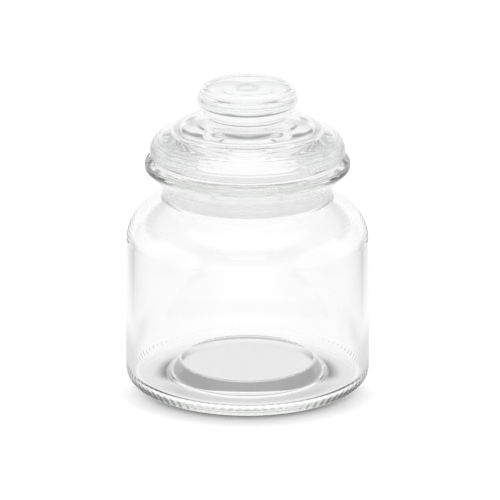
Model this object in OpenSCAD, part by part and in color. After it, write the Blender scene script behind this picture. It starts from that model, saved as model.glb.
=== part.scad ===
// Glass storage jar with a stopper lid: a straight jar with a flared lip, a hollow pressed lid
// with a knob, and a finned sealing ring on the lid's plug.
// Millimetres, +Z up, origin at the middle of the underside.

/* [Jar body] */
// Outside diameter just above the heel
base_d = 100.6; // [92:0.2:116]
// Outside diameter where the shoulder starts
shoulder_d = 98.8; // [92:0.2:112]
// Height where the shoulder starts
shoulder_z = 61; // [40:1:110]
// Height of the shoulder, from its start up to the neck
shoulder_h = 17.5; // [14:0.5:24]
// Half width of the ellipse that the shoulder follows
shoulder_reach = 37; // [30:0.5:44]
// Thickness of the side wall
wall = 3; // [2:0.1:4]
// Radius of the rounded heel
heel_r = 5.5; // [3:0.1:7]

/* [Jar floor] */
// Height of the push-up in the underside
pushup_h = 2.5; // [1.2:0.1:3.5]
// Diameter of the flat at the top of the push-up
pushup_d = 62; // [44:0.5:70]
// How far the push-up's flank leans out on its way down
pushup_flank = 2.5; // [1:0.1:5]
// Thickness of the floor over the push-up
floor_t = 6; // [4:0.1:8]
// Diameter of the raised middle of the floor inside
plateau_d = 55.8; // [40:0.2:62]
// Width of the slope from the raised middle down to the floor's edge
floor_slope_w = 4.6; // [3:0.1:7]
// Thickness of the floor at its edge
ring_t = 3.4; // [3:0.1:5]
// Radius of the corner where the floor meets the wall inside
floor_corner_r = 3.5; // [2:0.5:6]

/* [Neck and lip] */
// Bore of the neck
bore_d = 64.8; // [58:0.2:72]
// Thickness of the neck's wall
neck_wall = 2.3; // [1.6:0.1:4]
// Height of the straight neck outside, from the shoulder up to the flare
neck_h = 5.3; // [4:0.1:10]
// How far the lip stands out from the neck
lip_reach = 7; // [5:0.1:9]
// Lean of the flare away from upright, in degrees
flare_angle = 45; // [38:1:52]
// Height of the lip's edge
lip_h = 2.8; // [2:0.1:5]
// Width of the lip's top
lip_w = 3.7; // [2.8:0.1:4.4]

/* [Lid] */
// How far the rolled rim stays inside the lip's edge
rim_inset = 2.1; // [1.5:0.1:4]
// Thickness of the rolled rim
rim_h = 12.8; // [10:0.1:16]
// How far the crease above the rim stays inside the middle of the rim
crease_inset = 2.3; // [1:0.1:4]
// Height of the crease above the rim's round
crease_rise = 0.8; // [0.3:0.1:2]
// How far the flank above the crease leans in
flank_w = 0.7; // [0.3:0.1:2]
// Height of the flank
flank_h = 1.9; // [1:0.1:4]
// Diameter of the circle where the dome bends flatter
dome_d = 47; // [38:0.5:54]
// Rise of the dome from the flank to its bend
dome_h = 3.6; // [2:0.1:6]
// Rise of the dome from its bend to the waist
waist_rise = 0.9; // [0.3:0.1:2]
// Diameter of the waist under the knob
waist_d = 30; // [22:0.5:34]
// Diameter of the knob
knob_d = 40.8; // [36:0.2:48]
// Height of the waist
waist_h = 1; // [0.6:0.1:2.5]
// Height from the dome to the widest part of the knob
knob_z = 7.7; // [6:0.1:12]
// Height of the knob's side, from its widest part up to its rounded top
knob_side_h = 2.5; // [1:0.1:5]
// How far the knob's side leans in
knob_lean = 0.9; // [0.3:0.1:2]
// Width of the round from the knob's side to the flat middle of its top
knob_edge_w = 16; // [8:0.5:17]
// Height of that round
knob_edge_h = 5.4; // [3:0.1:8]
// Length of the plug below the rim
plug_h = 12.5; // [9:0.1:15]
// Thickness of the plug's wall
plug_wall = 3.2; // [2.4:0.1:5]
// Thickness of the glass between the hollow and the waist
dome_t = 4.8; // [3.5:0.1:9]
// Height of the rounded top of the hollow
hollow_h = 4.5; // [3:0.5:12]

/* [Seal] */
// Thickness of the ring's web
seal_web = 1.2; // [0.8:0.1:1.6]
// How far the fins stand out from the web
fin_reach = 1.3; // [0.8:0.1:2]
// Thickness of a fin at its root
fin_root = 1.7; // [1:0.1:2.2]
// Thickness of a fin at its tip
fin_tip = 0.6; // [0.4:0.1:0.9]
// Number of fins
fin_count = 4; // [2:1:4]
// Height of the fins' tips above their roots
fin_lift = 0.5; // [0:0.1:0.8]
// Width of the foot that turns in under the plug
foot_w = 1.4; // [0.8:0.1:2]
// Thickness of the foot
foot_t = 0.9; // [0.6:0.1:1.4]

/* [Fits] */
// Running gap between the fins and the neck's bore
bore_gap = 0.06; // [0.03:0.01:0.1]
// Running gap between the ring and the plug
plug_gap = 0.06; // [0.03:0.01:0.1]
// Gap between the rim and the flare that it sits in
seat_gap = 0.3; // [0.2:0.05:0.5]
// Gap at the ring's top and over its foot
seal_end_gap = 0.3; // [0.2:0.05:0.5]

/* [Fillets] */
// At the top and the foot of the push-up's flank
pushup_fillet = 1; // [0.3:0.1:2]
// At the top and the foot of the slope in the floor
floor_fillet = 2; // [0.5:0.1:3]
// Where the shoulder meets the neck
neck_fillet = 1.4; // [0.5:0.1:2]
// Where the neck turns out into the flare
flare_fillet = 1.2; // [0.5:0.1:5]
// At the lip's lower edge
lip_edge_fillet = 2; // [0.5:0.1:3]
// At the lip's upper edge
lip_top_fillet = 0.8; // [0.3:0.1:1.5]
// At both ends of the bore
bore_fillet = 1.5; // [0.5:0.1:2.5]
// At the inner edge of the lip
seat_fillet = 0.8; // [0.3:0.1:1]
// In the crease between the rim and the flank
crease_fillet = 0.6; // [0.3:0.1:1]
// Along the flank's upper edge
flank_edge_r = 1.2; // [0.4:0.1:2]
// Where the dome bends flatter
dome_bend_r = 12; // [4:1:20]
// Where the dome meets the waist
waist_fillet = 1; // [0.3:0.1:1.5]
// Round the widest part of the knob
knob_fillet = 4; // [1:0.5:8]
// Along the plug's lower edge
plug_fillet = 1.2; // [0.4:0.1:1.5]

/* [Hidden] */
$fn = 96;
arc_step = 6;

// Jar body
base_r = base_d / 2;
shoulder_r = shoulder_d / 2;
bore_r = bore_d / 2;
neck_r = bore_r + neck_wall;
pushup_r = pushup_d / 2;
plateau_r = plateau_d / 2;
neck_z = shoulder_z + shoulder_h;
shoulder_c = [shoulder_r - shoulder_reach, shoulder_z];
shoulder_end_a = acos((neck_r - shoulder_c.x) / shoulder_reach);
shoulder_rise = shoulder_h / sin(shoulder_end_a);
inner_reach = shoulder_reach - wall;
inner_rise = shoulder_rise - wall;
inner_end_a = acos((bore_r - shoulder_c.x) / inner_reach);
floor_z = pushup_h + floor_t;
cavity_r = base_r - wall;
bore_low_z = shoulder_z + inner_rise * sin(inner_end_a);

// Lip
lip_r = neck_r + lip_reach;
lip_in_r = lip_r - lip_w;
flare_z = neck_z + neck_h;
lip_edge_z = flare_z + lip_reach / tan(flare_angle);
lip_top_z = lip_edge_z + lip_h;
seat_low_z = lip_top_z - (lip_in_r - bore_r) / tan(flare_angle);

// Lid: the rim touches the flare along one circle, a seat gap away
rim_r = rim_h / 2;
rim_c_r = lip_r - rim_inset - rim_r;
rim_lift = (rim_r + seat_gap + (rim_c_r - lip_in_r) * cos(flare_angle)) / sin(flare_angle);
rim_c = [rim_c_r, lip_top_z + rim_lift];
rim_under_z = rim_c.y - rim_r;

// Above the rim, which runs straight up to the crease from where its round leans that way
crease = rim_c + [-crease_inset, rim_r + crease_rise];
crease_a = atan2(crease.y - rim_c.y, crease.x - rim_c.x);
rim_end_a = crease_a - acos(rim_r / norm(crease - rim_c));
flank_z = crease.y + flank_h;
dome_r = dome_d / 2;
dome_z = flank_z + dome_h;
dome_top_z = dome_z + waist_rise;
waist_r = waist_d / 2;
knob_r = knob_d / 2;
knob_wide_z = dome_top_z + knob_z;
knob_under_r = knob_z - waist_h;
knob_under_c = [knob_r - knob_under_r, knob_wide_z];
knob_under_a = -acos((waist_r - knob_under_c.x) / knob_under_r);
knob_edge_c = [knob_r - knob_lean - knob_edge_w, knob_wide_z + knob_side_h];
knob_edge_a = atan(knob_lean / knob_side_h * knob_edge_h / knob_edge_w);
knob_edge = arc(knob_edge_c, knob_edge_w, knob_edge_h, knob_edge_a, 90);
knob_under = arc(knob_under_c, knob_under_r, knob_under_r, knob_under_a, -arc_step);
hollow_z = dome_top_z - dome_t - hollow_h;

// Plug and seal
fin_r = bore_r - bore_gap;
web_r = fin_r - fin_reach;
seal_in_r = web_r - seal_web;
plug_r = seal_in_r - plug_gap;
plug_in_r = plug_r - plug_wall;
plug_z = rim_under_z - plug_h;
seal_top_z = rim_under_z - seal_end_gap;
foot_top_z = plug_z - seal_end_gap;
seal_z = foot_top_z - foot_t;
fin_pitch = (seal_top_z - seal_z - fin_root - fin_lift) / fin_count;

// Points along an arc of an ellipse with half sizes rx and rz, from angle a0 to angle a1
function arc(c, rx, rz, a0, a1) =
    let (n = max(2, ceil(abs(a1 - a0) / arc_step)))
    [for (i = [0:n]) let (a = a0 + (a1 - a0) * i / n) c + [rx * cos(a), rz * sin(a)]];

function unit(v) = v / norm(v);

// How much of the edge from one corner to the next a fillet may take, when both are rounded
function share(p, q) = norm([q.x - p.x, q.y - p.y]) * p[2] / (p[2] + q[2]);

// Points of the rounded corner at p, between the corners before and after it
function corner(before, p, after) =
    let (
        b = [p.x, p.y],
        u = unit([before.x, before.y] - b),
        v = unit([after.x, after.y] - b),
        half = acos(u * v) / 2,
        room = min(share(p, before), share(p, after)),
        r = min(p[2], room * tan(half)),
        c = b + unit(u + v) * r / sin(half),
        from = b + u * r / tan(half) - c,
        turn = (u.x * v.y - u.y * v.x > 0 ? -1 : 1) * (180 - 2 * half),
        n = max(2, ceil(abs(turn) / arc_step))
    )
    [for (i = [0:n]) let (a = turn * i / n)
        c + [from.x * cos(a) - from.y * sin(a), from.x * sin(a) + from.y * cos(a)]];

// An open outline through corners [r, z, fillet], where a fillet of 0 leaves the corner sharp
function rounded(corners) =
    let (last = len(corners) - 1)
    [for (i = [0:last])
        if (i == 0 || i == last || corners[i][2] == 0) [[corners[i].x, corners[i].y]]
        else corner(corners[i - 1], corners[i], corners[i + 1])];

function joined(lists) = [for (list = lists) each list];

// Outline of the jar from the middle of its underside, up the outside, over the lip and down the bore
function jar_outside() = joined([
    joined(rounded([
        [0, pushup_h, 0],
        [pushup_r, pushup_h, pushup_fillet],
        [pushup_r + pushup_flank, 0, pushup_fillet],
        [base_r - heel_r, 0, 0]
    ])),
    arc([base_r - heel_r, heel_r], heel_r, heel_r, -90, 0),
    arc(shoulder_c, shoulder_reach, shoulder_rise, 0, shoulder_end_a - arc_step),
    joined(rounded([
        shoulder_point(shoulder_end_a - arc_step),
        [neck_r, neck_z, neck_fillet],
        [neck_r, flare_z, flare_fillet],
        [lip_r, lip_edge_z, lip_edge_fillet],
        [lip_r, lip_top_z, lip_top_fillet],
        [lip_in_r, lip_top_z, seat_fillet],
        [bore_r, seat_low_z, bore_fillet],
        [bore_r, bore_low_z, bore_fillet],
        inner_shoulder_point(inner_end_a - arc_step)
    ]))
]);

function shoulder_point(a) =
    [shoulder_c.x + shoulder_reach * cos(a), shoulder_z + shoulder_rise * sin(a), 0];

function inner_shoulder_point(a) =
    [shoulder_c.x + inner_reach * cos(a), shoulder_z + inner_rise * sin(a), 0];

// Outline of the jar's inside, from the shoulder down to the middle of the floor
function jar_inside() = joined([
    arc(shoulder_c, inner_reach, inner_rise, inner_end_a - arc_step, 0),
    joined(rounded([
        [shoulder_r - wall, shoulder_z, 0],
        [cavity_r, ring_t, floor_corner_r],
        [plateau_r + floor_slope_w, ring_t, floor_fillet],
        [plateau_r, floor_z, floor_fillet],
        [0, floor_z, 0]
    ]))
]);

module jar_body() {
    color([0.86, 0.92, 0.9, 0.4])
        rotate_extrude()
            polygon(concat(jar_outside(), jar_inside()));
}

// Outline of the lid from the middle of its hollow, down the plug, out round the rim and up
function lid_outline() = joined([
    arc([0, hollow_z], plug_in_r, hollow_h, 90, 0),
    joined(rounded([
        [plug_in_r, hollow_z, 0],
        [plug_in_r, plug_z, plug_fillet],
        [plug_r, plug_z, plug_fillet],
        [plug_r, rim_under_z, 0]
    ])),
    arc(rim_c, rim_r, rim_r, -90, rim_end_a),
    joined(rounded([
        concat(rim_c + rim_r * [cos(rim_end_a), sin(rim_end_a)], [0]),
        concat(crease, [crease_fillet]),
        [crease.x - flank_w, flank_z, flank_edge_r],
        [dome_r, dome_z, dome_bend_r],
        [waist_r, dome_top_z, waist_fillet],
        concat(knob_under[0], [0])
    ])),
    knob_under,
    joined(rounded([
        concat(knob_under[len(knob_under) - 1], [0]),
        [knob_r, knob_wide_z, knob_fillet],
        concat(knob_edge[0], [0])
    ])),
    knob_edge,
    [[0, knob_edge_c.y + knob_edge_h]]
]);

module lid() {
    color([0.88, 0.92, 0.92, 0.4])
        rotate_extrude()
            polygon(lid_outline());
}

// Cross-section of one fin, its root sunk into the web and its tip lifted
module fin_section(z) {
    polygon([
        [web_r - seal_web / 2, z],
        [web_r, z],
        [fin_r, z + fin_lift],
        [fin_r, z + fin_lift + fin_tip],
        [web_r, z + fin_root],
        [web_r - seal_web / 2, z + fin_root]
    ]);
}

module lid_seal() {
    color([0.84, 0.85, 0.87])
        rotate_extrude() {
            translate([seal_in_r, seal_z])
                square([seal_web, seal_top_z - seal_z]);
            translate([seal_in_r - foot_w, seal_z])
                square([foot_w + seal_web / 2, foot_t]);
            for (i = [0:fin_count - 1])
                fin_section(seal_z + fin_pitch * i);
        }
}

jar_body();
lid();
lid_seal();
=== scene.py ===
"""Clear glass storage jar with a stopper lid and a sealing ring, dressed and lit for a studio picture.

The three solids of the frame are replaced by finely turned meshes of the same sizes. The pieces' sizes are in
millimetres in the fields of each class, and become metres when a mesh is made. The studio's are in metres.
"""
import logging
import math
from collections.abc import Callable, Sequence
from dataclasses import dataclass
from enum import Enum
from typing import ClassVar

import bpy
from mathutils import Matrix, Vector


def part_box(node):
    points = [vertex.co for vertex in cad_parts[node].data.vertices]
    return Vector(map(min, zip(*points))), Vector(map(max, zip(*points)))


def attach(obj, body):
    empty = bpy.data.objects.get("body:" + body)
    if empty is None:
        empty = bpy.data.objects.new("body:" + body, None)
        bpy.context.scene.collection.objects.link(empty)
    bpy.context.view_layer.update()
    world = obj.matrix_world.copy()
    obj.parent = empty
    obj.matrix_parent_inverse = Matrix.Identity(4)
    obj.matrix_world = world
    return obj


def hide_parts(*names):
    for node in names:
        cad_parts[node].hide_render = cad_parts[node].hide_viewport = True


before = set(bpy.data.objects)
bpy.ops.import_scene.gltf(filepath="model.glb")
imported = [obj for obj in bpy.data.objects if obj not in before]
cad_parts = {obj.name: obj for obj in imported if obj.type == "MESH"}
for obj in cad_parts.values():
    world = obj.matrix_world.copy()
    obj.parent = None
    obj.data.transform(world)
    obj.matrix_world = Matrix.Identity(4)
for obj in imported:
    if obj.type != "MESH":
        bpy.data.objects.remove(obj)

LOG = logging.getLogger("glass_jar")
MM = 0.001

Point = tuple[float, float]
Corner = tuple[float, float, float]
Span = tuple[float, float]
Shape = Callable[[Point, float], Point]


class Body(Enum):
    """The bodies that the pieces move with."""

    JAR = "jar"
    SEAL = "seal"
    LID = "lid"


# Outlines

ARC_STEP = 4.0
LONGEST_STEP = 3.0
SHORT_STRETCH = 1.5
GUARD_STEP = 0.25
DOUBLE_POINT = 0.005


def arc_steps(turn: float) -> int:
    """Number of steps in an arc that turns by so many degrees."""
    return max(2, math.ceil(abs(turn) / ARC_STEP))


def arc(centre: Point, half_r: float, half_z: float, start: float, end: float) -> list[Point]:
    """Points along an arc of an upright ellipse.

    Args:
        centre: Middle of the ellipse, as radius and height.
        half_r: Half size along the radius.
        half_z: Half size along the height.
        start: First angle, in degrees.
        end: Last angle, in degrees.

    Returns:
        The points, both ends included.
    """
    count = arc_steps(end - start)
    angles = [math.radians(start + (end - start) * i / count) for i in range(count + 1)]
    return [(centre[0] + half_r * math.cos(a), centre[1] + half_z * math.sin(a)) for a in angles]


def corner_points(before: Corner, corner: Corner, after: Corner) -> list[Point]:
    """Points of one rounded corner of an outline.

    Args:
        before: The corner before it.
        corner: The corner itself, as radius, height and fillet.
        after: The corner after it.

    Returns:
        The points of the fillet, or the bare corner where its fillet is 0.
    """
    here = Vector(corner[:2])
    if corner[2] == 0:
        return [tuple(here)]
    back, ahead = Vector(before[:2]) - here, Vector(after[:2]) - here
    room = min(
        back.length * corner[2] / (corner[2] + before[2]),
        ahead.length * corner[2] / (corner[2] + after[2]),
    )
    back.normalize()
    ahead.normalize()
    half = back.angle(ahead) / 2
    radius = min(corner[2], room * math.tan(half))
    middle = here + (back + ahead).normalized() * radius / math.sin(half)
    spoke = here + back * radius / math.tan(half) - middle
    turn = math.pi - 2 * half
    if back.x * ahead.y - back.y * ahead.x > 0:
        turn = -turn
    count = arc_steps(math.degrees(turn))
    points = []
    for i in range(count + 1):
        angle = turn * i / count
        cosine, sine = math.cos(angle), math.sin(angle)
        points.append((
            middle.x + spoke.x * cosine - spoke.y * sine,
            middle.y + spoke.x * sine + spoke.y * cosine,
        ))
    return points


def rounded(corners: Sequence[Corner]) -> list[Point]:
    """An open outline through corners, each with its own fillet.

    Args:
        corners: Radius, height and fillet of each corner. The first and the last stay sharp.

    Returns:
        The points of the outline.
    """
    points = [corners[0][:2]]
    for before, corner, after in zip(corners, corners[1:], corners[2:]):
        points += corner_points(before, corner, after)
    return points + [corners[-1][:2]]


def stepped(outline: Sequence[Point]) -> list[Point]:
    """Cuts the long straight stretches of an outline into steps, so that flat glass stays flat when shaded.

    Args:
        outline: The points of an outline.

    Returns:
        The same outline without double points, with a guard point near both ends of each long stretch.
    """
    points = [outline[0]]
    for p in outline[1:]:
        q = points[-1]
        length = math.dist(p, q)
        if length < DOUBLE_POINT:
            continue
        if length > SHORT_STRETCH:
            count = math.ceil(length / LONGEST_STEP)
            shares = [i / count for i in range(1, count)]
            guard = GUARD_STEP / length
            for s in [guard, *shares, 1 - guard]:
                points.append((q[0] + (p[0] - q[0]) * s, q[1] + (p[1] - q[1]) * s))
        points.append(p)
    return points


# Meshes

SHARP_ANGLE = 32.0


def turned(name: str, outline: Sequence[Point], count: int, shape: Shape | None = None) -> bpy.types.Object:
    """Turns an outline about the Z axis into one closed mesh.

    Args:
        name: Name of the new piece.
        outline: Points as radius and height, in millimetres. An outline that starts and ends on the axis is
            capped there, and any other is closed on itself as a ring.
        count: Number of steps around.
        shape: Moves a point of the outline for the angle of its step, in radians, or None for a plain turning.

    Returns:
        The new object, shaded smooth, with its sharp edges kept.
    """
    capped = outline[0][0] == 0 and outline[-1][0] == 0
    angles = [2 * math.pi * i / count for i in range(count)]
    vertices: list[tuple[float, float, float]] = []
    rings: list[list[int]] = []
    for point in outline:
        first = len(vertices)
        if point[0] == 0:
            vertices.append((0.0, 0.0, point[1] * MM))
            rings.append([first] * count)
            continue
        for angle in angles:
            r, z = shape(point, angle) if shape else point
            vertices.append((r * math.cos(angle) * MM, r * math.sin(angle) * MM, z * MM))
        rings.append(list(range(first, first + count)))
    if not capped:
        rings.append(rings[0])
    faces = []
    for low, high in zip(rings, rings[1:]):
        for i in range(count):
            j = (i + 1) % count
            corners = (low[i], low[j], high[j], high[i])
            faces.append(tuple(dict.fromkeys(corners)))
    mesh = bpy.data.meshes.new(name)
    mesh.from_pydata(vertices, [], faces)
    mesh.shade_smooth()
    mesh.set_sharp_from_angle(angle=math.radians(SHARP_ANGLE))
    mesh.validate()
    piece = bpy.data.objects.new(name, mesh)
    bpy.context.scene.collection.objects.link(piece)
    return piece


# Shader nodes


class NodeSheet:
    """A node tree with short ways to add nodes and link them."""

    def __init__(self, tree: bpy.types.NodeTree) -> None:
        """Takes a node tree and empties it."""
        self.tree = tree
        tree.nodes.clear()

    def add(self, kind: str, inputs: dict | None = None, **settings: object) -> bpy.types.Node:
        """Adds a node.

        Args:
            kind: Type name of the node, such as ShaderNodeMath.
            inputs: Values or output sockets for its inputs, by name or by number.
            settings: Properties of the node.

        Returns:
            The new node.
        """
        node = self.tree.nodes.new(kind)
        for name, value in settings.items():
            setattr(node, name, value)
        for key, value in (inputs or {}).items():
            if isinstance(value, bpy.types.NodeSocket):
                self.tree.links.new(value, node.inputs[key])
            else:
                node.inputs[key].default_value = value
        return node

    def math(self, operation: str, *values: object) -> bpy.types.NodeSocket:
        """Adds a Math node and returns its output."""
        return self.add("ShaderNodeMath", dict(enumerate(values)), operation=operation).outputs[0]

    def vector(self, operation: str, *values: object) -> bpy.types.Node:
        """Adds a Vector Math node and returns it."""
        return self.add("ShaderNodeVectorMath", dict(enumerate(values)), operation=operation)

    def ramp(self, value: object, ends: Span, to: Span) -> bpy.types.NodeSocket:
        """Adds a smooth Map Range node.

        Args:
            value: The number to map.
            ends: Where the ramp starts and ends.
            to: What it gives at its start and at its end.

        Returns:
            The mapped number.
        """
        spans = {"From Min": ends[0], "From Max": ends[1], "To Min": to[0], "To Max": to[1]}
        node = self.add("ShaderNodeMapRange", {"Value": value, **spans}, interpolation_type="SMOOTHSTEP")
        return node.outputs["Result"]


def new_material(name: str) -> tuple[bpy.types.Material, NodeSheet]:
    """Starts an empty material.

    Args:
        name: Name of the material.

    Returns:
        The material and its sheet of nodes.
    """
    material = bpy.data.materials.new(name)
    material.use_nodes = True
    return material, NodeSheet(material.node_tree)


def effect_group(name: str, values: dict[str, float], output: str) -> NodeSheet:
    """Starts a shader node group with number inputs and one number output.

    Args:
        name: Name of the group.
        values: The inputs and their defaults.
        output: Name of the output.

    Returns:
        The sheet of the group, with its group nodes named in and out.
    """
    tree = bpy.data.node_groups.new(name, "ShaderNodeTree")
    for key, value in values.items():
        socket = tree.interface.new_socket(key, in_out="INPUT", socket_type="NodeSocketFloat")
        socket.default_value = value
    tree.interface.new_socket(output, in_out="OUTPUT", socket_type="NodeSocketFloat")
    sheet = NodeSheet(tree)
    sheet.add("NodeGroupInput", name="in")
    sheet.add("NodeGroupOutput", name="out")
    return sheet


class Effects:
    """The effects that several finishes share, each a node group that is built once."""

    def __init__(self) -> None:
        """Builds the groups."""
        self.flow = self.build_flow()
        self.film = self.build_film()

    @staticmethod
    def build_flow() -> bpy.types.NodeTree:
        """Slow waves and fine cords that a hot surface freezes with, as a height in metres.

        Returns:
            The node group, with inputs for the waves' and cords' numbers per metre, their heights, and how
            many times closer they lie upwards than around.
        """
        values = {"Waves": 60.0, "Wave Height": 4e-6, "Cords": 240.0, "Cord Height": 5e-7, "Level": 1.0}
        grain = {"Detail": 1.0, "Roughness": 0.4}
        sheet = effect_group("frozen_flow", values, "Height")
        given = sheet.tree.nodes["in"].outputs
        place = sheet.add("ShaderNodeTexCoord").outputs["Object"]
        squeeze = sheet.add("ShaderNodeCombineXYZ", {"X": 1.0, "Y": 1.0, "Z": given["Level"]}).outputs[0]
        stretched = sheet.vector("MULTIPLY", place, squeeze).outputs[0]
        heights = []
        for rate, height in (("Waves", "Wave Height"), ("Cords", "Cord Height")):
            noise = sheet.add("ShaderNodeTexNoise", {"Vector": stretched, "Scale": given[rate], **grain})
            heights.append(sheet.math("MULTIPLY", noise.outputs[0], given[height]))
        total = sheet.math("ADD", *heights)
        sheet.tree.links.new(total, sheet.tree.nodes["out"].inputs["Height"])
        return sheet.tree

    @staticmethod
    def build_film() -> bpy.types.NodeTree:
        """Patches of a thin film from handling, as a roughness.

        Returns:
            The node group, with inputs for the clean and the filmed roughness and the patches per metre.
        """
        values = {"Clean": 0.0, "Filmed": 0.03, "Patches": 45.0}
        grain = {"Detail": 4.0, "Roughness": 0.6}
        patch_edge = (0.5, 0.75)
        sheet = effect_group("handling_film", values, "Roughness")
        given = sheet.tree.nodes["in"].outputs
        place = sheet.add("ShaderNodeTexCoord").outputs["Object"]
        noise = sheet.add("ShaderNodeTexNoise", {"Vector": place, "Scale": given["Patches"], **grain})
        amount = sheet.ramp(noise.outputs[0], patch_edge, (0.0, 1.0))
        span = sheet.math("SUBTRACT", given["Filmed"], given["Clean"])
        total = sheet.math("MULTIPLY_ADD", amount, span, given["Clean"])
        sheet.tree.links.new(total, sheet.tree.nodes["out"].inputs["Roughness"])
        return sheet.tree

    def normal(self, sheet: NodeSheet, values: dict[str, float]) -> bpy.types.NodeSocket:
        """Places the frozen flow in a material.

        Args:
            sheet: The material's nodes.
            values: The inputs of the flow that differ from its defaults.

        Returns:
            The normal of the wavy surface.
        """
        flow = sheet.add("ShaderNodeGroup", values, node_tree=self.flow)
        heights = {"Strength": 1.0, "Distance": 1.0, "Height": flow.outputs["Height"]}
        return sheet.add("ShaderNodeBump", heights).outputs["Normal"]

    def roughness(self, sheet: NodeSheet, values: dict[str, float]) -> bpy.types.NodeSocket:
        """Places the handling film in a material and returns the roughness that it gives."""
        return sheet.add("ShaderNodeGroup", values, node_tree=self.film).outputs["Roughness"]


# Finishes


@dataclass(frozen=True)
class GlassFinish:
    """Clear soda-lime glass with a faint tint in its depth."""

    name: str
    depth_tint: tuple[float, float, float]
    depth_rate: float
    waves: float
    wave_height: float
    cords: float
    cord_height: float
    level: float
    filmed: float = 0.02
    ior: float = 1.52

    def material(self, effects: Effects) -> bpy.types.Material:
        """Makes the material.

        Args:
            effects: The shared effects.

        Returns:
            The new material.
        """
        material, sheet = new_material(self.name)
        flow = {
            "Waves": self.waves,
            "Wave Height": self.wave_height,
            "Cords": self.cords,
            "Cord Height": self.cord_height,
            "Level": self.level,
        }
        glass = sheet.add(
            "ShaderNodeBsdfPrincipled",
            {
                "Base Color": (1.0, 1.0, 1.0, 1.0),
                "Roughness": effects.roughness(sheet, {"Filmed": self.filmed}),
                "IOR": self.ior,
                "Transmission Weight": 1.0,
                "Normal": effects.normal(sheet, flow),
            },
        )
        tint = {"Color": (*self.depth_tint, 1.0), "Density": self.depth_rate}
        depth = sheet.add("ShaderNodeVolumeAbsorption", tint)
        ends = {"Surface": glass.outputs["BSDF"], "Volume": depth.outputs["Volume"]}
        sheet.add("ShaderNodeOutputMaterial", ends)
        return material


@dataclass(frozen=True)
class PlasticFinish:
    """Soft, milky sealing plastic that lets light through and blurs it."""

    name: str
    colour: tuple[float, float, float]
    clean: float
    filmed: float
    milkiness: float = 1.0
    milk_depth: float = 0.004
    ior: float = 1.5

    def material(self, effects: Effects) -> bpy.types.Material:
        """Makes the material.

        Args:
            effects: The shared effects.

        Returns:
            The new material.
        """
        material, sheet = new_material(self.name)
        plastic = sheet.add(
            "ShaderNodeBsdfPrincipled",
            {
                "Base Color": (*self.colour, 1.0),
                "Roughness": effects.roughness(sheet, {"Clean": self.clean, "Filmed": self.filmed}),
                "IOR": self.ior,
                "Subsurface Weight": self.milkiness,
                "Subsurface Radius": (1.0, 1.0, 1.0),
                "Subsurface Scale": self.milk_depth,
                "Normal": effects.normal(sheet, {}),
            },
        )
        sheet.add("ShaderNodeOutputMaterial", {"Surface": plastic.outputs["BSDF"]})
        return material


JAR_GLASS = GlassFinish(
    name="jar_glass",
    depth_tint=(0.88, 0.94, 0.88),
    depth_rate=3.0,
    waves=70.0,
    wave_height=6e-6,
    cords=300.0,
    cord_height=4e-7,
    level=0.35,
)
LID_GLASS = GlassFinish(
    name="lid_glass",
    depth_tint=(0.90, 0.94, 0.92),
    depth_rate=2.5,
    waves=90.0,
    wave_height=8e-6,
    cords=420.0,
    cord_height=4e-7,
    level=2.0,
)
SEAL_PLASTIC = PlasticFinish(name="seal_plastic", colour=(0.985, 0.985, 0.985), clean=0.42, filmed=0.55)


# Pieces


def seat(piece: bpy.types.Object, node: str, body: Body, finish: bpy.types.Material) -> None:
    """Puts a finished piece in the place of its solid.

    Args:
        piece: The new piece.
        node: Name of the solid that it stands for.
        body: The body that it moves with.
        finish: Its material.
    """
    piece.data.materials.append(finish)
    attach(piece, body.value)
    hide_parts(node)


def report(piece: bpy.types.Object, node: str) -> None:
    """Logs the size of a piece beside that of its solid.

    Args:
        piece: The piece.
        node: Name of the solid that it stands for.
    """
    low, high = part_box(node)
    span = [round((b - a) / MM, 2) for a, b in zip(low, high)]
    mine = [round(s / MM, 2) for s in piece.dimensions]
    LOG.info("%s: %d faces, %s mm, its solid %s mm", piece.name, len(piece.data.polygons), mine, span)


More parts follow.
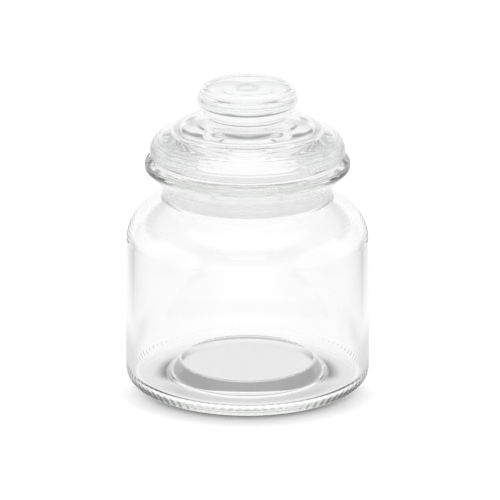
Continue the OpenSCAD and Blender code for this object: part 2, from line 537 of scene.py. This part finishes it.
@dataclass
class JarBody:
    """The jar: straight wall, round shoulder, neck, flared lip, knurled heel and a floor with a push-up."""

    node: ClassVar[str] = "jar_body"
    base_d: float = 100.6
    shoulder_d: float = 98.8
    shoulder_z: float = 61.0
    shoulder_h: float = 17.5
    shoulder_reach: float = 37.0
    wall: float = 3.0
    heel_r: float = 5.5
    pushup_h: float = 2.5
    pushup_d: float = 62.0
    pushup_flank: float = 2.5
    floor_t: float = 6.0
    plateau_d: float = 55.8
    ring_t: float = 3.4
    floor_slope_w: float = 4.6
    floor_corner_r: float = 3.5
    bore_d: float = 64.8
    neck_wall: float = 2.3
    neck_h: float = 5.3
    lip_reach: float = 7.0
    flare_angle: float = 45.0
    lip_h: float = 2.8
    lip_w: float = 3.7
    pushup_fillet: float = 1.0
    floor_fillet: float = 2.0
    neck_fillet: float = 1.4
    flare_fillet: float = 1.2
    lip_edge_fillet: float = 2.0
    lip_top_fillet: float = 0.8
    bore_fillet: float = 1.5
    seat_fillet: float = 0.8
    bars: int = 94
    steps_per_bar: int = 6
    bar_depth: float = 0.25
    bar_sharpness: float = 1.5
    bar_low: float = -56.0
    bar_high: float = -6.0
    bar_ease: float = 9.0

    @property
    def base_r(self) -> float:
        """Outside radius of the wall above the heel."""
        return self.base_d / 2

    @property
    def bore_r(self) -> float:
        """Radius of the neck's bore."""
        return self.bore_d / 2

    @property
    def neck_r(self) -> float:
        """Outside radius of the neck."""
        return self.bore_r + self.neck_wall

    @property
    def neck_z(self) -> float:
        """Height where the neck starts."""
        return self.shoulder_z + self.shoulder_h

    @property
    def flare_slope(self) -> float:
        """Rise of the flare for each millimetre that it reaches out."""
        return 1 / math.tan(math.radians(self.flare_angle))

    @property
    def flare_z(self) -> float:
        """Height where the flare starts outside."""
        return self.neck_z + self.neck_h

    @property
    def lip_r(self) -> float:
        """Outside radius of the lip."""
        return self.neck_r + self.lip_reach

    @property
    def lip_in_r(self) -> float:
        """Inside radius of the lip's edge."""
        return self.lip_r - self.lip_w

    @property
    def lip_edge_z(self) -> float:
        """Height of the lip's lower edge, where the flare ends outside."""
        return self.flare_z + self.lip_reach * self.flare_slope

    @property
    def lip_top_z(self) -> float:
        """Height of the lip's top."""
        return self.lip_edge_z + self.lip_h

    def base(self) -> list[Point]:
        """The underside and the heel.

        Returns:
            Points from the middle of the underside, out over the push-up's foot and up round the heel.
        """
        pushup_r = self.pushup_d / 2
        heel_c = (self.base_r - self.heel_r, self.heel_r)
        under = rounded([
            (0, self.pushup_h, 0),
            (pushup_r, self.pushup_h, self.pushup_fillet),
            (pushup_r + self.pushup_flank, 0, self.pushup_fillet),
            (heel_c[0], 0, 0),
        ])
        return under + arc(heel_c, self.heel_r, self.heel_r, -90, 0)

    def inner_floor(self, wall_top: Point) -> list[Point]:
        """The inside below the shoulder.

        Args:
            wall_top: The point where the shoulder's inside meets the wall.

        Returns:
            Points from there down the wall, over the ring and the slope to the middle of the floor.
        """
        plateau_r = self.plateau_d / 2
        plateau_z = self.pushup_h + self.floor_t
        return rounded([
            (*wall_top, 0),
            (self.base_r - self.wall, self.ring_t, self.floor_corner_r),
            (plateau_r + self.floor_slope_w, self.ring_t, self.floor_fillet),
            (plateau_r, plateau_z, self.floor_fillet),
            (0, plateau_z, 0),
        ])

    def outline(self) -> list[Point]:
        """The jar's outline.

        Returns:
            Points from the middle of the underside, up the outside, over the lip and down to the floor inside.
        """
        middle = (self.shoulder_d / 2 - self.shoulder_reach, self.shoulder_z)
        end = math.degrees(math.acos((self.neck_r - middle[0]) / self.shoulder_reach))
        rise = self.shoulder_h / math.sin(math.radians(end))
        reach_in, rise_in = self.shoulder_reach - self.wall, rise - self.wall
        end_in = math.degrees(math.acos((self.bore_r - middle[0]) / reach_in))
        bore_low_z = self.shoulder_z + rise_in * math.sin(math.radians(end_in))
        seat_low_z = self.lip_top_z - (self.lip_in_r - self.bore_r) * self.flare_slope
        shoulder = arc(middle, self.shoulder_reach, rise, 0, end - ARC_STEP)
        shoulder_in = arc(middle, reach_in, rise_in, end_in - ARC_STEP, 0)
        neck = rounded([
            (*shoulder[-1], 0),
            (self.neck_r, self.neck_z, self.neck_fillet),
            (self.neck_r, self.flare_z, self.flare_fillet),
            (self.lip_r, self.lip_edge_z, self.lip_edge_fillet),
            (self.lip_r, self.lip_top_z, self.lip_top_fillet),
            (self.lip_in_r, self.lip_top_z, self.seat_fillet),
            (self.bore_r, seat_low_z, self.bore_fillet),
            (self.bore_r, bore_low_z, self.bore_fillet),
            (*shoulder_in[0], 0),
        ])
        return stepped(self.base() + shoulder + neck + shoulder_in + self.inner_floor(shoulder_in[-1]))

    def knurled(self, point: Point, angle: float) -> Point:
        """Sinks the grooves between the short bars of the heel into the glass.

        Args:
            point: A point of the outline.
            angle: The angle of its step, in radians.

        Returns:
            The point, moved towards the middle of the heel where it lies in a groove.
        """
        across = point[0] - (self.base_r - self.heel_r)
        up = point[1] - self.heel_r
        if across <= 0 or up >= 0:
            return point
        lean = math.degrees(math.atan2(up, across))
        inside = min(lean - self.bar_low, self.bar_high - lean) / self.bar_ease
        share = min(max(inside, 0.0), 1.0)
        groove = max(0.0, math.cos(angle * self.bars)) ** self.bar_sharpness
        sink = self.bar_depth * groove * share * share * (3 - 2 * share) / self.heel_r
        return point[0] - across * sink, point[1] - up * sink

    def build(self) -> bpy.types.Object:
        """Turns the jar and returns its piece."""
        return turned("jar_glass_body", self.outline(), self.bars * self.steps_per_bar, self.knurled)

    def dress(self, effects: Effects) -> bpy.types.Object:
        """Builds the jar and gives it its glass.

        Args:
            effects: The shared effects.

        Returns:
            The finished piece.
        """
        piece = self.build()
        seat(piece, self.node, Body.JAR, JAR_GLASS.material(effects))
        return piece


@dataclass
class Lid:
    """The stopper lid: knob, waist, low dome, fat rolled rim and a hollow plug."""

    node: ClassVar[str] = "lid"
    jar: JarBody
    rim_inset: float = 2.1
    rim_h: float = 12.8
    crease_inset: float = 2.3
    crease_rise: float = 0.8
    flank_w: float = 0.7
    flank_h: float = 1.9
    flank_edge_r: float = 1.2
    dome_d: float = 47.0
    dome_h: float = 3.6
    dome_bend_r: float = 12.0
    waist_d: float = 30.0
    waist_rise: float = 0.9
    waist_h: float = 1.0
    knob_d: float = 40.8
    knob_z: float = 7.7
    knob_side_h: float = 2.5
    knob_lean: float = 0.9
    knob_edge_w: float = 16.0
    knob_edge_h: float = 5.4
    knob_wide_fillet: float = 4.0
    plug_h: float = 12.5
    plug_d: float = 59.56
    plug_wall: float = 3.2
    dome_t: float = 4.8
    hollow_h: float = 4.5
    seat_gap: float = 0.3
    crease_fillet: float = 0.6
    waist_fillet: float = 1.0
    plug_fillet: float = 1.2
    press_lines: tuple[float, ...] = (58.0, 42.0, 24.0, 2.0)
    press_line_w: float = 1.3
    press_line_t: float = 0.14
    press_line_steps: int = 6
    steps: int = 384

    @property
    def rim_r(self) -> float:
        """Radius of the rolled rim's round."""
        return self.rim_h / 2

    @property
    def rim_middle(self) -> Point:
        """Middle of the rolled rim's round, which rests a seat gap from the flare.

        Returns:
            Its radius and its height.
        """
        lean = math.radians(self.jar.flare_angle)
        radius = self.jar.lip_r - self.rim_inset - self.rim_r
        slack = self.rim_r + self.seat_gap + (radius - self.jar.lip_in_r) * math.cos(lean)
        return radius, self.jar.lip_top_z + slack / math.sin(lean)

    @property
    def rim_under_z(self) -> float:
        """Height of the rim's underside."""
        return self.rim_middle[1] - self.rim_r

    @property
    def crease(self) -> Point:
        """The crease between the rim and the flank of the dome."""
        middle = self.rim_middle
        return middle[0] - self.crease_inset, middle[1] + self.rim_r + self.crease_rise

    @property
    def flank_z(self) -> float:
        """Height of the top of the dome's flank."""
        return self.crease[1] + self.flank_h

    @property
    def dome_z(self) -> float:
        """Height of the dome where it bends towards the waist."""
        return self.flank_z + self.dome_h

    @property
    def dome_top_z(self) -> float:
        """Height where the dome meets the waist."""
        return self.dome_z + self.waist_rise

    def plug(self) -> list[Point]:
        """The hollow and the plug.

        Returns:
            Points from the middle of the hollow, down its wall, round the plug's end and up to the rim.
        """
        plug_r = self.plug_d / 2
        plug_in_r = plug_r - self.plug_wall
        plug_z = self.rim_under_z - self.plug_h
        hollow_z = self.dome_top_z - self.dome_t - self.hollow_h
        hollow = arc((0, hollow_z), plug_in_r, self.hollow_h, 90, 0)
        hollow[0] = (0, hollow[0][1])
        return hollow + rounded([
            (plug_in_r, hollow_z, 0),
            (plug_in_r, plug_z, self.plug_fillet),
            (plug_r, plug_z, self.plug_fillet),
            (plug_r, self.rim_under_z, 0),
        ])

    def rim(self) -> list[Point]:
        """The rolled rim, with the shallow level lines that the press leaves on its outside.

        Returns:
            Points from the rim's underside out and up to where the rim runs straight into the crease.
        """
        middle, crease = self.rim_middle, self.crease
        to_crease = math.atan2(crease[1] - middle[1], crease[0] - middle[0])
        end = to_crease - math.acos(self.rim_r / math.dist(middle, crease))
        half = math.degrees(self.press_line_w / 2 / self.rim_r)
        count = self.press_line_steps
        stops = [-90.0]
        for line in sorted(self.press_lines):
            stops += [line + half * i / count for i in range(-count, count + 1)]
        stops.append(math.degrees(end))
        points: list[Point] = []
        for start, stop in zip(stops, stops[1:]):
            points += arc(middle, self.rim_r, self.rim_r, start, stop)
        return [self.pressed(point, half) for point in points]

    def pressed(self, point: Point, half: float) -> Point:
        """Sinks one point of the rim by the press lines.

        Args:
            point: A point of the rim's round.
            half: Half the width of a line, in degrees.

        Returns:
            The point, moved towards the middle of the round.
        """
        middle = self.rim_middle
        out, up = point[0] - middle[0], point[1] - middle[1]
        angle = math.degrees(math.atan2(up, out))
        near = min(abs(angle - line) for line in self.press_lines) / half
        if near >= 1:
            return point
        keep = 1 - self.press_line_t * (1 + math.cos(math.pi * near)) / self.rim_h
        return middle[0] + out * keep, middle[1] + up * keep

    def dome(self, start: Point, end: Point) -> list[Point]:
        """The flank, the dome and the foot of the waist.

        Args:
            start: Last point of the rim.
            end: First point of the knob's underside.

        Returns:
            Points from one to the other.
        """
        crease = self.crease
        return rounded([
            (*start, 0),
            (*crease, self.crease_fillet),
            (crease[0] - self.flank_w, self.flank_z, self.flank_edge_r),
            (self.dome_d / 2, self.dome_z, self.dome_bend_r),
            (self.waist_d / 2, self.dome_top_z, self.waist_fillet),
            (*end, 0),
        ])

    def knob(self) -> list[Point]:
        """The knob.

        Returns:
            Points from the top of the waist, out under the knob, up its side and over its top to the middle.
        """
        knob_r = self.knob_d / 2
        wide_z = self.dome_top_z + self.knob_z
        under_r = self.knob_z - self.waist_h
        under_c = (knob_r - under_r, wide_z)
        under_a = -math.degrees(math.acos((self.waist_d / 2 - under_c[0]) / under_r))
        under = arc(under_c, under_r, under_r, under_a, -ARC_STEP)
        edge_c = (knob_r - self.knob_lean - self.knob_edge_w, wide_z + self.knob_side_h)
        lean_in = self.knob_lean / self.knob_side_h
        edge_a = math.degrees(math.atan(lean_in * self.knob_edge_h / self.knob_edge_w))
        edge = arc(edge_c, self.knob_edge_w, self.knob_edge_h, edge_a, 90)
        side = rounded([
            (*under[-1], 0),
            (knob_r, wide_z, self.knob_wide_fillet),
            (*edge[0], 0),
        ])
        return under + side + edge + [(0, edge[-1][1])]

    def outline(self) -> list[Point]:
        """The lid's outline.

        Returns:
            Points from the middle of the hollow, down the plug, out round the rim and up over the knob.
        """
        rim, knob = self.rim(), self.knob()
        return stepped(self.plug() + rim + self.dome(rim[-1], knob[0]) + knob)

    def build(self) -> bpy.types.Object:
        """Turns the lid and returns its piece."""
        return turned("lid_glass_stopper", self.outline(), self.steps)

    def dress(self, effects: Effects) -> bpy.types.Object:
        """Builds the lid and gives it its glass.

        Args:
            effects: The shared effects.

        Returns:
            The finished piece.
        """
        piece = self.build()
        seat(piece, self.node, Body.LID, LID_GLASS.material(effects))
        return piece


@dataclass
class SealRing:
    """The finned ring on the lid's plug."""

    node: ClassVar[str] = "lid_seal"
    jar: JarBody
    lid: Lid
    web: float = 1.2
    fin_reach: float = 1.3
    fin_root: float = 1.7
    fin_tip: float = 0.6
    fin_count: int = 4
    fin_lift: float = 0.5
    foot_w: float = 1.4
    foot_t: float = 0.9
    bore_gap: float = 0.06
    end_gap: float = 0.3
    steps: int = 288

    def outline(self) -> list[Point]:
        """The ring's cross-section.

        Returns:
            Points from the foot's inner edge, out under the ring, up over the fins and down the inside.
        """
        fin_r = self.jar.bore_r - self.bore_gap
        web_r = fin_r - self.fin_reach
        in_r = web_r - self.web
        top_z = self.lid.rim_under_z - self.end_gap
        foot_top_z = self.lid.rim_under_z - self.lid.plug_h - self.end_gap
        low_z = foot_top_z - self.foot_t
        pitch = (top_z - low_z - self.fin_root - self.fin_lift) / self.fin_count
        points = [(in_r - self.foot_w, foot_top_z), (in_r - self.foot_w, low_z)]
        for i in range(self.fin_count):
            z = low_z + pitch * i
            points += [
                (web_r, z),
                (fin_r, z + self.fin_lift),
                (fin_r, z + self.fin_lift + self.fin_tip),
                (web_r, z + self.fin_root),
            ]
        points += [(web_r, top_z), (in_r, top_z), (in_r, foot_top_z)]
        return points

    def build(self) -> bpy.types.Object:
        """Turns the ring and returns its piece."""
        return turned("lid_sealing_ring", self.outline(), self.steps)

    def dress(self, effects: Effects) -> bpy.types.Object:
        """Builds the ring and gives it its plastic.

        Args:
            effects: The shared effects.

        Returns:
            The finished piece.
        """
        piece = self.build()
        seat(piece, self.node, Body.SEAL, SEAL_PLASTIC.material(effects))
        return piece


# Studio


@dataclass(frozen=True)
class SoftLight:
    """One even field of light in the surround, placed by its middle and its half sizes in degrees.

    An azimuth of 0 is behind the jar and 90 is to its right.
    """

    azimuth: float
    elevation: float
    half_width: float
    half_height: float
    level: float
    edge: float = 3.0

    def over(self, sheet: NodeSheet, heading: object, height: object, under: object) -> bpy.types.NodeSocket:
        """Lays the light over what lies behind it.

        Args:
            sheet: The world's nodes.
            heading: Level direction of the ray, of length 1.
            height: Elevation of the ray, in degrees.
            under: Brightness that the light covers.

        Returns:
            The brightness with the light in it.
        """
        turn = math.radians(self.azimuth)
        aim = (math.sin(turn), math.cos(turn), 0.0)
        along = sheet.vector("DOT_PRODUCT", heading, aim).outputs["Value"]
        away = sheet.math("DEGREES", sheet.math("ARCCOSINE", along))
        above = sheet.math("ABSOLUTE", sheet.math("SUBTRACT", height, self.elevation))
        across = sheet.ramp(away, (self.half_width - self.edge, self.half_width + self.edge), (1.0, 0.0))
        up = sheet.ramp(above, (self.half_height - self.edge, self.half_height + self.edge), (1.0, 0.0))
        share = sheet.math("MULTIPLY", across, up)
        more = sheet.math("SUBTRACT", self.level, under)
        return sheet.math("MULTIPLY_ADD", share, more, under)


@dataclass(frozen=True)
class FloorShade:
    """One soft shade on the floor, as the glass shows it.

    Each pair of distances, in metres, is where the shade starts and where it is full, or where it stops being
    full and where it ends. Without a pair the shade has no limit on that side.
    """

    depth: float
    aside: Span | None = None
    inner: Span | None = None
    outer: Span | None = None
    front: Span | None = None
    back: Span | None = None

    def over(self, sheet: NodeSheet, place: dict[str, object], under: object) -> bpy.types.NodeSocket:
        """Lays the shade over what the floor shows.

        Args:
            sheet: The floor's nodes.
            place: Distances of a spot on the floor to the side, from the middle and towards the back.
            under: Brightness without the shade.

        Returns:
            The brightness with the shade on it.
        """
        starting, ending = (0.0, 1.0), (1.0, 0.0)
        share: object = self.depth
        for pair, name, way in (
            (self.aside, "aside", starting),
            (self.inner, "away", starting),
            (self.outer, "away", ending),
            (self.front, "along", starting),
            (self.back, "along", ending),
        ):
            if pair:
                share = sheet.math("MULTIPLY", share, sheet.ramp(place[name], pair, way))
        return sheet.math("MULTIPLY", under, sheet.math("SUBTRACT", 1.0, share))


# Fields of light and dark around the jar, each laid over the ones before it

DARK_BAND = SoftLight(azimuth=0, elevation=23, half_width=75, half_height=6, level=0.3, edge=2)
SWEEP = SoftLight(azimuth=0, elevation=4, half_width=80, half_height=14, level=0.95, edge=2)
FRONT_WALL = SoftLight(azimuth=180, elevation=0, half_width=110, half_height=12, level=0.94, edge=4)
RIGHT_BOX = SoftLight(azimuth=100, elevation=18, half_width=28, half_height=14, level=1.06)
LEFT_BOX = SoftLight(azimuth=258, elevation=18, half_width=28, half_height=14, level=1.08)
FRONT_BOX = SoftLight(azimuth=180, elevation=36, half_width=18, half_height=9, level=1.0, edge=4)
DARK_RIGHT = SoftLight(azimuth=135, elevation=42, half_width=22, half_height=12, level=0.25, edge=4)
DARK_LEFT = SoftLight(azimuth=232, elevation=42, half_width=18, half_height=12, level=0.3, edge=4)
CEILING = SoftLight(azimuth=0, elevation=90, half_width=180, half_height=36, level=1.0, edge=5)

# Shades on the floor beside the jar and under it

NEAR_SIDES = FloorShade(0.25, aside=(0.049, 0.058), outer=(0.070, 0.105))
FAR_SIDES = FloorShade(0.34, aside=(0.060, 0.160), outer=(0.200, 0.450))
PUSHUP_FRONT = FloorShade(0.40, inner=(0.0305, 0.033), outer=(0.034, 0.043), back=(-0.028, -0.008))
PUSHUP_ENDS = FloorShade(
    0.85, inner=(0.027, 0.030), outer=(0.033, 0.040), front=(-0.014, -0.004), back=(0.006, 0.024)
)
HEEL_FRONT = FloorShade(0.95, inner=(0.0468, 0.0492), outer=(0.052, 0.058), back=(-0.034, -0.004))


@dataclass
class Studio:
    """A plain pale floor, a soft surround of light and the camera."""

    floor_half: float = 6.0
    floor_drop: float = 0.0001
    floor_colour: float = 0.95
    floor_glow: float = 0.40
    floor_through: float = 1.0
    shadow_reach: float = 0.0145
    shadow_depth: float = 0.86
    shadow_fall: Span = (-0.040, 0.004)
    shadow_samples: int = 8
    shades: tuple[FloorShade, ...] = (NEAR_SIDES, FAR_SIDES, PUSHUP_FRONT, PUSHUP_ENDS, HEEL_FRONT)
    room: float = 0.6
    lights: tuple[SoftLight, ...] = (
        DARK_BAND,
        SWEEP,
        FRONT_WALL,
        RIGHT_BOX,
        LEFT_BOX,
        FRONT_BOX,
        DARK_RIGHT,
        DARK_LEFT,
        CEILING,
    )
    camera_distance: float = 1.3
    camera_elevation: float = 18.0
    turn_z: float = 0.062
    aim: tuple[float, float, float] = (0.00102, 0.0, 0.0549)
    lens: float = 228.9
    sensor: float = 36.0
    glass_bounces: int = 96
    mirror_bounces: int = 30

    def shadowed_floor(self, sheet: NodeSheet, along: object) -> bpy.types.NodeSocket:
        """The floor as the camera sees it, with the jar's soft shadow close around its front.

        Args:
            sheet: The floor's nodes.
            along: Distance of the spot towards the back.

        Returns:
            The floor's shader.
        """
        reach = {"Distance": self.shadow_reach}
        open_sky = sheet.add("ShaderNodeAmbientOcclusion", reach, samples=self.shadow_samples).outputs["AO"]
        depth = sheet.ramp(along, self.shadow_fall, (self.shadow_depth, 0.0))
        shadow = sheet.math("MULTIPLY", sheet.math("SUBTRACT", 1.0, open_sky), depth)
        light = sheet.math("SUBTRACT", 1.0, shadow)
        matte = sheet.add("ShaderNodeBsdfDiffuse", {"Color": sheet.math("MULTIPLY", light, self.floor_colour)})
        glow = sheet.add("ShaderNodeEmission", {"Strength": sheet.math("MULTIPLY", light, self.floor_glow)})
        return sheet.add("ShaderNodeAddShader", {0: matte.outputs[0], 1: glow.outputs[0]}).outputs[0]

    def floor_in_glass(self, sheet: NodeSheet, place: dict[str, object]) -> bpy.types.NodeSocket:
        """The floor as the glass shows it, white with its soft shades.

        Args:
            sheet: The floor's nodes.
            place: Distances of the spot to the side, from the middle and towards the back.

        Returns:
            The floor's shader.
        """
        level: object = self.floor_through
        for shade in self.shades:
            level = shade.over(sheet, place, level)
        return sheet.add("ShaderNodeEmission", {"Strength": level}).outputs[0]

    def floor_material(self) -> bpy.types.Material:
        """Makes the floor's material, which takes the shadow and shows white through the glass.

        Returns:
            The new material.
        """
        material, sheet = new_material("pale_floor")
        position = sheet.add("ShaderNodeNewGeometry").outputs["Position"]
        spot = sheet.add("ShaderNodeSeparateXYZ", {0: position}).outputs
        place = {
            "aside": sheet.math("ABSOLUTE", spot["X"]),
            "away": sheet.vector("LENGTH", position).outputs["Value"],
            "along": spot["Y"],
        }
        path = sheet.add("ShaderNodeLightPath").outputs
        through = sheet.math("MAXIMUM", path["Is Transmission Ray"], path["Is Glossy Ray"])
        looks = {0: through, 1: self.shadowed_floor(sheet, spot["Y"]), 2: self.floor_in_glass(sheet, place)}
        mix = sheet.add("ShaderNodeMixShader", looks)
        sheet.add("ShaderNodeOutputMaterial", {"Surface": mix.outputs[0]})
        return material

    def build_floor(self) -> None:
        """Lays the floor."""
        half = self.floor_half
        mesh = bpy.data.meshes.new("floor")
        corners = [(-half, -half, 0), (half, -half, 0), (half, half, 0), (-half, half, 0)]
        mesh.from_pydata(corners, [], [(0, 1, 2, 3)])
        mesh.materials.append(self.floor_material())
        floor = bpy.data.objects.new("floor", mesh)
        floor.location.z = -self.floor_drop
        bpy.context.scene.collection.objects.link(floor)

    def build_world(self) -> None:
        """Surrounds the jar with soft lights and the room between them, and shows the camera plain white."""
        world = bpy.data.worlds.new("surround")
        bpy.context.scene.world = world
        world.use_nodes = True
        sheet = NodeSheet(world.node_tree)
        way = sheet.add("ShaderNodeTexCoord").outputs["Generated"]
        upward = sheet.add("ShaderNodeSeparateXYZ", {0: way}).outputs["Z"]
        flat = sheet.vector("MULTIPLY", way, (1.0, 1.0, 0.0)).outputs[0]
        heading = sheet.vector("NORMALIZE", flat).outputs[0]
        height = sheet.math("DEGREES", sheet.math("ARCSINE", upward))
        level: object = self.room
        for light in self.lights:
            level = light.over(sheet, heading, height, level)
        seen = sheet.add("ShaderNodeLightPath").outputs["Is Camera Ray"]
        rest = sheet.math("SUBTRACT", 1.0, level)
        strength = sheet.math("MULTIPLY_ADD", seen, rest, level)
        glow = sheet.add("ShaderNodeBackground", {"Color": (1.0, 1.0, 1.0, 1.0), "Strength": strength})
        sheet.add("ShaderNodeOutputWorld", {"Surface": glow.outputs[0]})

    def build_camera(self) -> None:
        """Sets the camera at the photograph's angle."""
        lift = math.radians(self.camera_elevation)
        data = bpy.data.cameras.new("camera")
        data.lens = self.lens
        data.sensor_width = self.sensor
        camera = bpy.data.objects.new("camera", data)
        camera.location = (
            0.0,
            -self.camera_distance * math.cos(lift),
            self.turn_z + self.camera_distance * math.sin(lift),
        )
        camera.rotation_euler = (Vector(self.aim) - camera.location).to_track_quat("-Z", "Y").to_euler()
        bpy.context.scene.collection.objects.link(camera)
        bpy.context.scene.camera = camera

    def build(self) -> None:
        """Builds the whole studio, with enough bounces for light to find its way out of thick glass."""
        scene = bpy.context.scene
        scene.view_settings.view_transform = "Standard"
        scene.cycles.max_bounces = self.glass_bounces
        scene.cycles.transmission_bounces = self.glass_bounces
        scene.cycles.glossy_bounces = self.mirror_bounces
        scene.cycles.blur_glossy = 0.0
        self.build_floor()
        self.build_world()
        self.build_camera()


def main() -> None:
    """Builds every piece and the studio."""
    logging.basicConfig(level=logging.INFO, format="%(name)s: %(message)s")
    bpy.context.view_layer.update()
    effects = Effects()
    jar = JarBody()
    lid = Lid(jar)
    seal = SealRing(jar, lid)
    for part in (jar, lid, seal):
        report(part.dress(effects), part.node)
    Studio().build()


if __name__ == "__main__":
    main()
